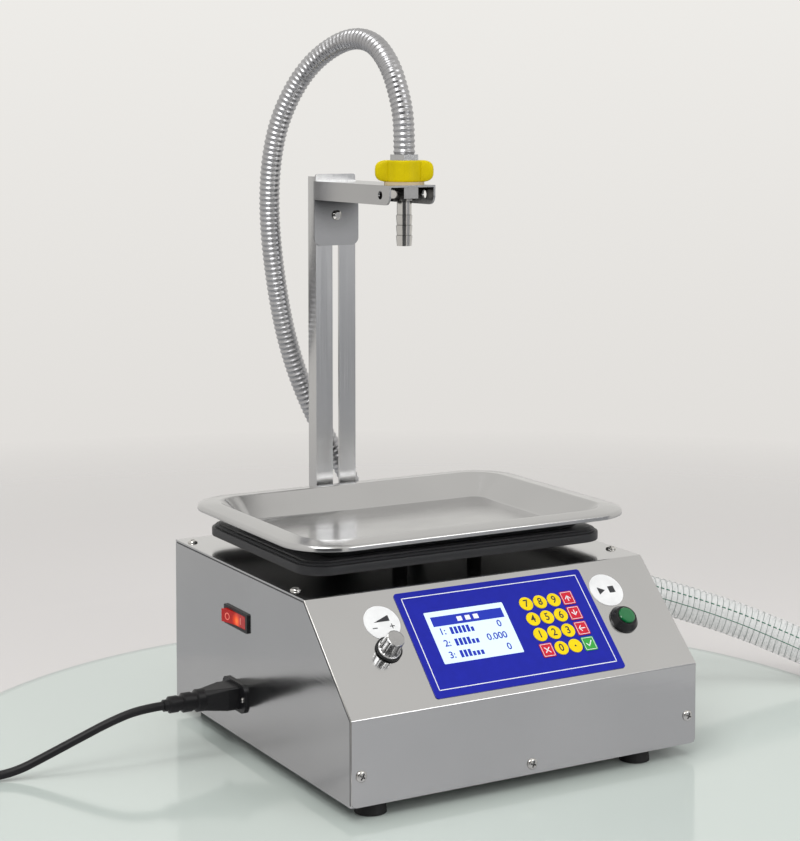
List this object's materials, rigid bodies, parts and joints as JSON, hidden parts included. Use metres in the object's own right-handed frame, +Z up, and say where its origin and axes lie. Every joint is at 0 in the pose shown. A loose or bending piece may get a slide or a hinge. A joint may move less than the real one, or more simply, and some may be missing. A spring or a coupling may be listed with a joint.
{
  "type": "liquid filling machine",
  "caption": "Benchtop liquid filler: sloped control cabinet, scale platform with steel tray, slotted mast, sliding nozzle arm, filling hose and suction hose.",
  "frame": {"origin": "centre of the footprint of the machine without its cords and hoses, at the foot plane", "axes": "+Z up, +X to the right as the operator faces the panel, +Y to the back; the panel faces -Y"},
  "size_m": [1.3798, 0.4348, 0.6761],
  "materials": {
    "cabinet_steel": "brushed along X",
    "steel": "satin",
    "drawn_steel": "bright",
    "screw_steel": "bright",
    "rubber_black": "matt",
    "overlay_blue": "satin film",
    "key_yellow": "satin film",
    "key_red": "satin film",
    "key_green": "satin film",
    "display": "gloss",
    "board_green": "satin",
    "black_plastic": "gloss",
    "black_satin": "satin",
    "knob_silver": "turned, faceted, black base ring",
    "cap_green": "gloss",
    "label_white": "satin",
    "rocker_red": "gloss, lit",
    "chromed": "bright",
    "pot_steel": "bright",
    "cord_black": "matt",
    "cell_aluminium": "satin",
    "wing_yellow": "gloss",
    "washer_beige": "satin",
    "nozzle_steel": "bright",
    "hose_clear": "clear, wire helix inside",
    "brass_fitting": "satin",
    "motor_black": "satin",
    "pump_body": "cast",
    "supply_case": "folded"
  },
  "bodies": {
    "machine": {"base_chassis": "cabinet_steel", "front_cover": "cabinet_steel", "rear_panel": "cabinet_steel", "pan_screws": "screw_steel", "rubber_feet": "rubber_black", "keypad_overlay": "overlay_blue", "display_module": "display", "control_board": "board_green", "potentiometer": "pot_steel", "potentiometer_nut": "pot_steel", "start_button_housing": "black_plastic", "round_labels": "label_white", "switch_housing": "black_satin", "power_inlet": "black_satin", "inlet_screws": "screw_steel", "cord_connector": "cord_black", "power_cord": "cord_black", "power_cord_coil": "cord_black", "mains_plug": "cord_black", "load_cell": "cell_aluminium", "load_cell_bracket": "steel", "platform_carrier": "cell_aluminium", "scale_platform": "black_plastic", "mast": "steel", "mast_bolts": "screw_steel", "filling_hose": "chromed", "outlet_fitting": "nozzle_steel", "pump": "pump_body", "pump_motor": "motor_black", "inlet_fitting": "brass_fitting", "suction_hose": "hose_clear", "power_supply": "supply_case"},
    "arm": {"nozzle_arm": "steel", "clamp_bolt": "screw_steel", "union_washer": "washer_beige", "hose_ferrule": "nozzle_steel", "filling_nozzle": "nozzle_steel"},
    "clamp_star": {"clamp_knob": "black_satin"},
    "wing_nut_body": {"wing_nut": "wing_yellow"},
    "tray": {"filling_tray": "drawn_steel"},
    "rocker": {"switch_rocker": "rocker_red"},
    "start_cap": {"start_button_cap": "cap_green"},
    "knob": {"flow_knob": "knob_silver", "potentiometer_shaft": "pot_steel"},
    "cap_7": {"key_7": "key_yellow"},
    "cap_8": {"key_8": "key_yellow"},
    "cap_9": {"key_9": "key_yellow"},
    "cap_up": {"key_up": "key_red"},
    "cap_4": {"key_4": "key_yellow"},
    "cap_5": {"key_5": "key_yellow"},
    "cap_6": {"key_6": "key_yellow"},
    "cap_down": {"key_down": "key_red"},
    "cap_1": {"key_1": "key_yellow"},
    "cap_2": {"key_2": "key_yellow"},
    "cap_3": {"key_3": "key_yellow"},
    "cap_back": {"key_back": "key_red"},
    "cap_cancel": {"key_cancel": "key_red"},
    "cap_0": {"key_0": "key_yellow"},
    "cap_point": {"key_point": "key_yellow"},
    "cap_confirm": {"key_confirm": "key_green"}
  },
  "joints": [
    {"name": "arm_slide", "type": "slide", "parent": "machine", "child": "arm", "axis": [0, 0, 1], "range_m": [-0.2, 0], "deforming": ["filling_hose"]},
    {"name": "clamp_turn", "type": "hinge", "parent": "arm", "child": "clamp_star", "pos_m": [0.00349, 0.1815, 0.4876], "axis": [0, 1, 0], "range_deg": [0, 360]},
    {"name": "wing_turn", "type": "hinge", "parent": "arm", "child": "wing_nut_body", "pos_m": [0.00589, 0.0327, 0.535], "axis": [0, 0, 1], "range_deg": [0, 360]},
    {"name": "tray_lift", "type": "slide", "parent": "machine", "child": "tray", "axis": [0, 0, 1], "range_m": [0, 0.06]},
    {"name": "rocker_tip", "type": "hinge", "parent": "machine", "child": "rocker", "pos_m": [-0.17551, 0.026, 0.123], "axis": [0, 0, 1], "range_deg": [-14, 0]},
    {"name": "start_press", "type": "slide", "parent": "machine", "child": "start_cap", "axis": [0, 0.6967, -0.7174], "range_m": [0, 0.002], "stiffness_N_per_m": 900},
    {"name": "flow_turn", "type": "hinge", "parent": "machine", "child": "knob", "pos_m": [-0.11661, -0.15503, 0.12812], "axis": [0, -0.6967, 0.7174], "range_deg": [-300, 0]},
    {"name": "press_7", "type": "slide", "parent": "machine", "child": "cap_7", "axis": [0, 0.6967, -0.7174], "range_m": [0, 0.0005], "stiffness_N_per_m": 800},
    {"name": "press_8", "type": "slide", "parent": "machine", "child": "cap_8", "axis": [0, 0.6967, -0.7174], "range_m": [0, 0.0005], "stiffness_N_per_m": 800},
    {"name": "press_9", "type": "slide", "parent": "machine", "child": "cap_9", "axis": [0, 0.6967, -0.7174], "range_m": [0, 0.0005], "stiffness_N_per_m": 800},
    {"name": "press_up", "type": "slide", "parent": "machine", "child": "cap_up", "axis": [0, 0.6967, -0.7174], "range_m": [0, 0.0005], "stiffness_N_per_m": 800},
    {"name": "press_4", "type": "slide", "parent": "machine", "child": "cap_4", "axis": [0, 0.6967, -0.7174], "range_m": [0, 0.0005], "stiffness_N_per_m": 800},
    {"name": "press_5", "type": "slide", "parent": "machine", "child": "cap_5", "axis": [0, 0.6967, -0.7174], "range_m": [0, 0.0005], "stiffness_N_per_m": 800},
    {"name": "press_6", "type": "slide", "parent": "machine", "child": "cap_6", "axis": [0, 0.6967, -0.7174], "range_m": [0, 0.0005], "stiffness_N_per_m": 800},
    {"name": "press_down", "type": "slide", "parent": "machine", "child": "cap_down", "axis": [0, 0.6967, -0.7174], "range_m": [0, 0.0005], "stiffness_N_per_m": 800},
    {"name": "press_1", "type": "slide", "parent": "machine", "child": "cap_1", "axis": [0, 0.6967, -0.7174], "range_m": [0, 0.0005], "stiffness_N_per_m": 800},
    {"name": "press_2", "type": "slide", "parent": "machine", "child": "cap_2", "axis": [0, 0.6967, -0.7174], "range_m": [0, 0.0005], "stiffness_N_per_m": 800},
    {"name": "press_3", "type": "slide", "parent": "machine", "child": "cap_3", "axis": [0, 0.6967, -0.7174], "range_m": [0, 0.0005], "stiffness_N_per_m": 800},
    {"name": "press_back", "type": "slide", "parent": "machine", "child": "cap_back", "axis": [0, 0.6967, -0.7174], "range_m": [0, 0.0005], "stiffness_N_per_m": 800},
    {"name": "press_cancel", "type": "slide", "parent": "machine", "child": "cap_cancel", "axis": [0, 0.6967, -0.7174], "range_m": [0, 0.0005], "stiffness_N_per_m": 800},
    {"name": "press_0", "type": "slide", "parent": "machine", "child": "cap_0", "axis": [0, 0.6967, -0.7174], "range_m": [0, 0.0005], "stiffness_N_per_m": 800},
    {"name": "press_point", "type": "slide", "parent": "machine", "child": "cap_point", "axis": [0, 0.6967, -0.7174], "range_m": [0, 0.0005], "stiffness_N_per_m": 800},
    {"name": "press_confirm", "type": "slide", "parent": "machine", "child": "cap_confirm", "axis": [0, 0.6967, -0.7174], "range_m": [0, 0.0005], "stiffness_N_per_m": 800}
  ]
}
